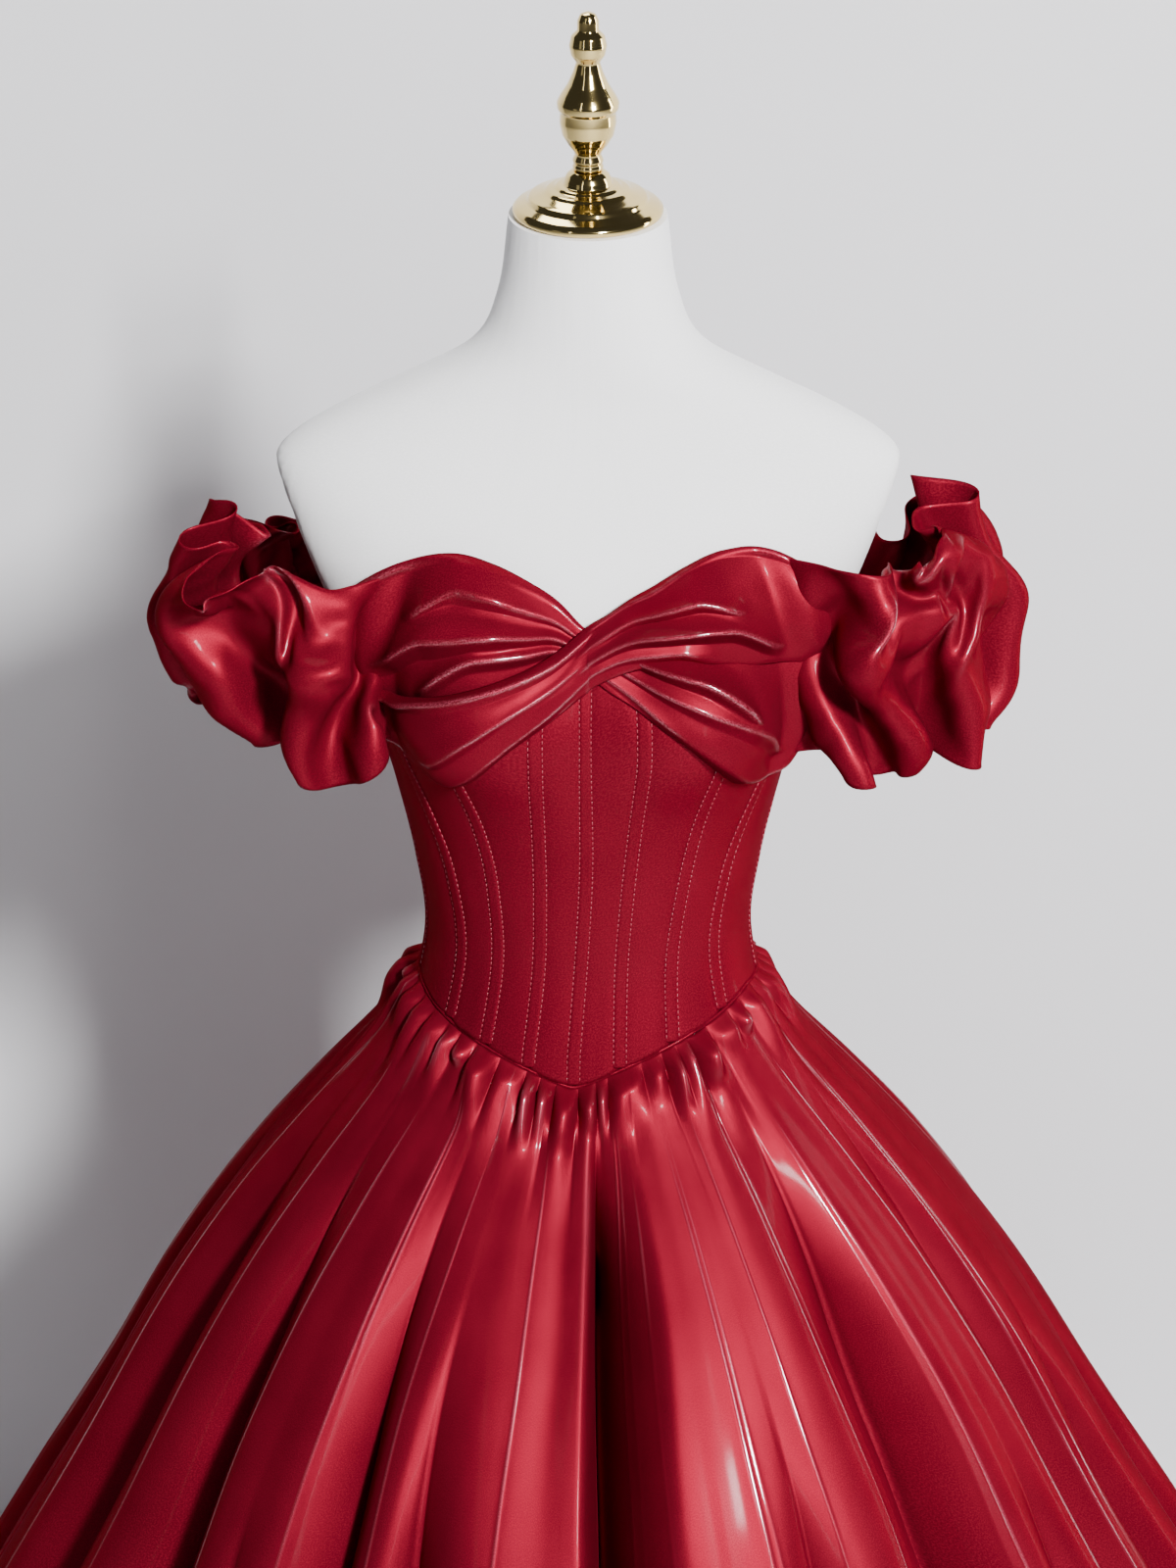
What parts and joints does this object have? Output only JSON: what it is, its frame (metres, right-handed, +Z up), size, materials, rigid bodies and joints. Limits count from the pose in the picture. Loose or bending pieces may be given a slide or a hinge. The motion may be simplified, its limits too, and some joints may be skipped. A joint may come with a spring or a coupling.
{
  "type": "prom dress on a dress form",
  "caption": "Off-the-shoulder ball gown with a boned bodice, twisted bust drape, ruffled sleeves and a full gathered skirt, on a limbless dress form with a turned finial and a round stand.",
  "frame": {"origin": "centre of the stand base's underside, on the floor", "axes": "+Z up, along the stand's pole; the gown's front faces -Y and the wearer's left is +X"},
  "size_m": [1.4263, 1.4208, 1.6568],
  "materials": {
    "crimson_satin": "glossy crimson satin",
    "crimson_zip": "matte crimson zip tape",
    "white_jersey": "matte white jersey",
    "gold_metal": "polished gold"
  },
  "bodies": {
    "root": {"dress_form": "white_jersey", "neck_cap": "gold_metal", "finial": "gold_metal", "stand_base": "gold_metal", "stand_pole": "gold_metal", "bodice_front_inner_l": "crimson_satin", "bodice_front_inner_r": "crimson_satin", "bodice_front_outer_l": "crimson_satin", "bodice_front_outer_r": "crimson_satin", "bodice_side_front_l": "crimson_satin", "bodice_side_front_r": "crimson_satin", "bodice_side_l": "crimson_satin", "bodice_side_r": "crimson_satin", "bodice_side_back_l": "crimson_satin", "bodice_side_back_r": "crimson_satin", "bodice_back_l": "crimson_satin", "bodice_back_r": "crimson_satin", "casing_centre": "crimson_satin", "casing_front_l": "crimson_satin", "casing_front_r": "crimson_satin", "casing_side_front_l": "crimson_satin", "casing_side_front_r": "crimson_satin", "casing_side_l": "crimson_satin", "casing_side_r": "crimson_satin", "casing_side_back_l": "crimson_satin", "casing_side_back_r": "crimson_satin", "casing_back_l": "crimson_satin", "casing_back_r": "crimson_satin", "back_zip": "crimson_zip", "drape_over": "crimson_satin", "drape_under": "crimson_satin", "sleeve_l": "crimson_satin", "sleeve_r": "crimson_satin", "skirt_front": "crimson_satin", "skirt_back_l": "crimson_satin", "skirt_back_r": "crimson_satin"}
  },
  "joints": []
}
